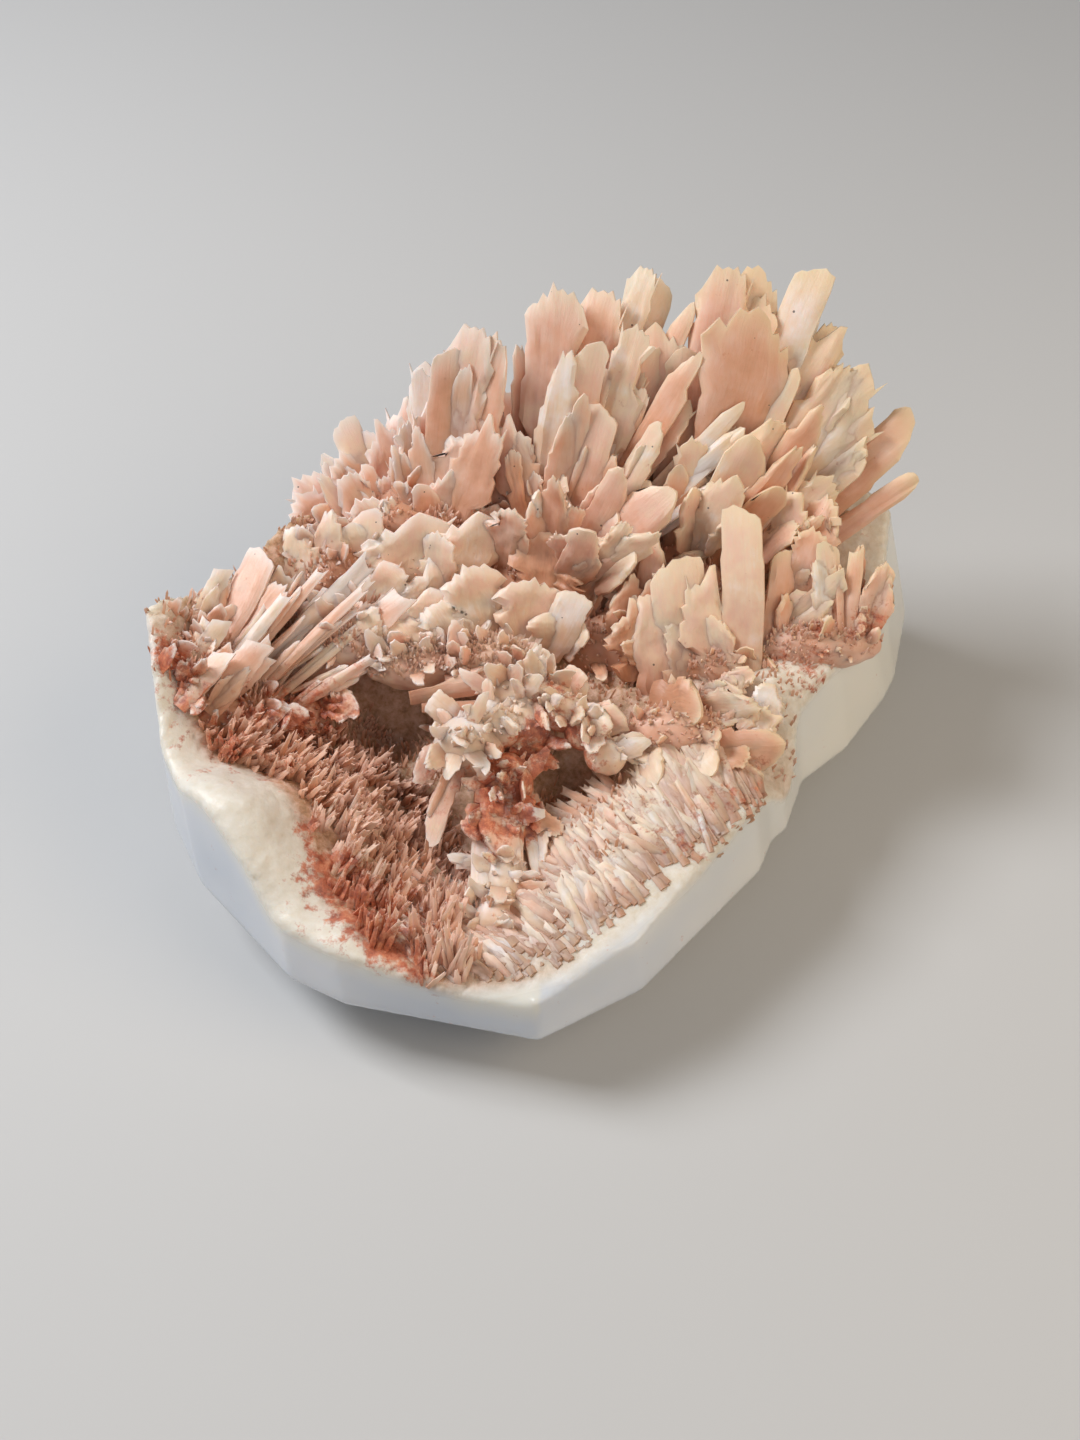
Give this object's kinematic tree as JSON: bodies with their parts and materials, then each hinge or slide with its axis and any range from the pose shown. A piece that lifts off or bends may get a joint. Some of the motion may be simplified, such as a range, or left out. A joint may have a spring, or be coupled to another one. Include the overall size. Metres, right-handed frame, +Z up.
{
  "type": "mordenite and stilbite mineral specimen",
  "caption": "Natural mineral specimen: a polished white stilbite block with a crest of pink and tan blade crystals and a turf of fine needles in an open front hollow.",
  "frame": {"origin": "on the small flat spot under the stilbite block that the specimen rests on", "axes": "+Z up from the rest spot, -Y the front with the open hollow, +X to the right along the longest side"},
  "size_m": [0.1374, 0.1157, 0.078],
  "materials": {
    "polished_stilbite": "polished, milky white, slightly translucent",
    "pink_blades": "satin, peach to pinkish white, translucent at the tips",
    "rusty_crystals": "rough, white with rust red stains",
    "needle_turf": "matt, fine needles, pinkish brown"
  },
  "bodies": {
    "root": {"stilbite_base": "polished_stilbite", "blade_crest": "pink_blades", "left_blades": "pink_blades", "ledge_blades": "pink_blades", "front_blades": "pink_blades", "centre_spur": "rusty_crystals", "mordenite_crust": "needle_turf"}
  },
  "joints": []
}
